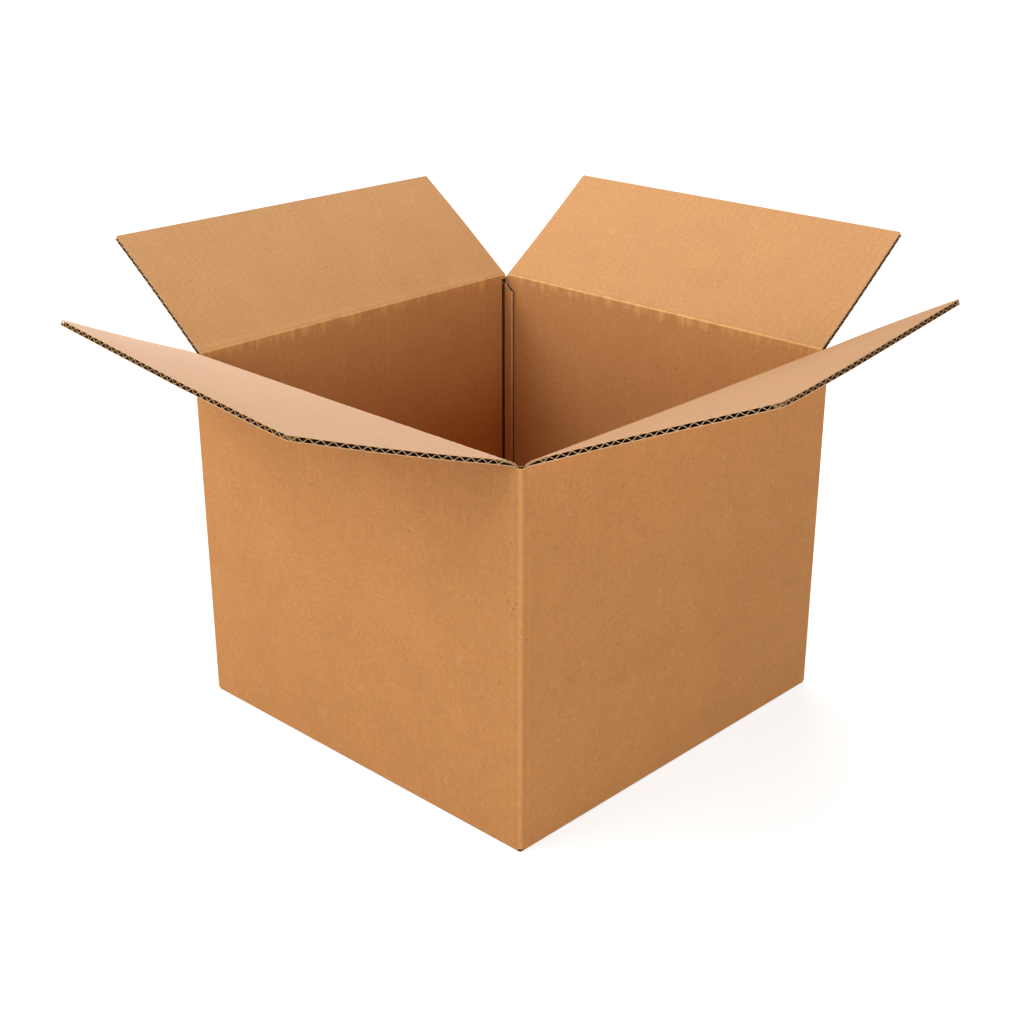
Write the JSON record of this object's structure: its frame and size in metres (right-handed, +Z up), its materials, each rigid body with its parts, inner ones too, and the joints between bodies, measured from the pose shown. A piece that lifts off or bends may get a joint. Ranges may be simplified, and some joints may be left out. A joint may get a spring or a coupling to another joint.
{
  "type": "open cardboard box",
  "caption": "Open square cardboard shipping box of corrugated board with hinged top flaps, a glued corner tab and glued bottom flaps.",
  "frame": {"origin": "middle of the bottom, on the floor, on the outer bottom flap's underside", "axes": "+Z up out of the open top; -Y is the front wall, +X the right wall"},
  "size_m": [0.5668, 0.5696, 0.3676],
  "materials": {
    "kraft_board": "matte",
    "adhesive": "matte"
  },
  "bodies": {
    "box": {"box_body": "kraft_board", "joint_glue": "adhesive", "bottom_glue_left": "adhesive", "bottom_glue_right": "adhesive"},
    "front_top_flap": {"front_flap": "kraft_board"},
    "right_top_flap": {"right_flap": "kraft_board"},
    "back_top_flap": {"back_flap": "kraft_board"},
    "left_top_flap": {"left_flap": "kraft_board"}
  },
  "joints": [
    {"name": "front_flap_crease", "type": "hinge", "parent": "box", "child": "front_top_flap", "pos_m": [0, -0.17694, 0.29251], "axis": [1, 0, 0], "range_deg": [-162.3, 102.7]},
    {"name": "right_flap_crease", "type": "hinge", "parent": "box", "child": "right_top_flap", "pos_m": [0.1752, 0, 0.29], "axis": [0, 1, 0], "range_deg": [-158, 107]},
    {"name": "back_flap_crease", "type": "hinge", "parent": "box", "child": "back_top_flap", "pos_m": [0, 0.17655, 0.2929], "axis": [-1, 0, 0], "range_deg": [-143.5, 121.5]},
    {"name": "left_flap_crease", "type": "hinge", "parent": "box", "child": "left_top_flap", "pos_m": [-0.1752, 0, 0.29], "axis": [0, -1, 0], "range_deg": [-143.5, 121.5]}
  ]
}
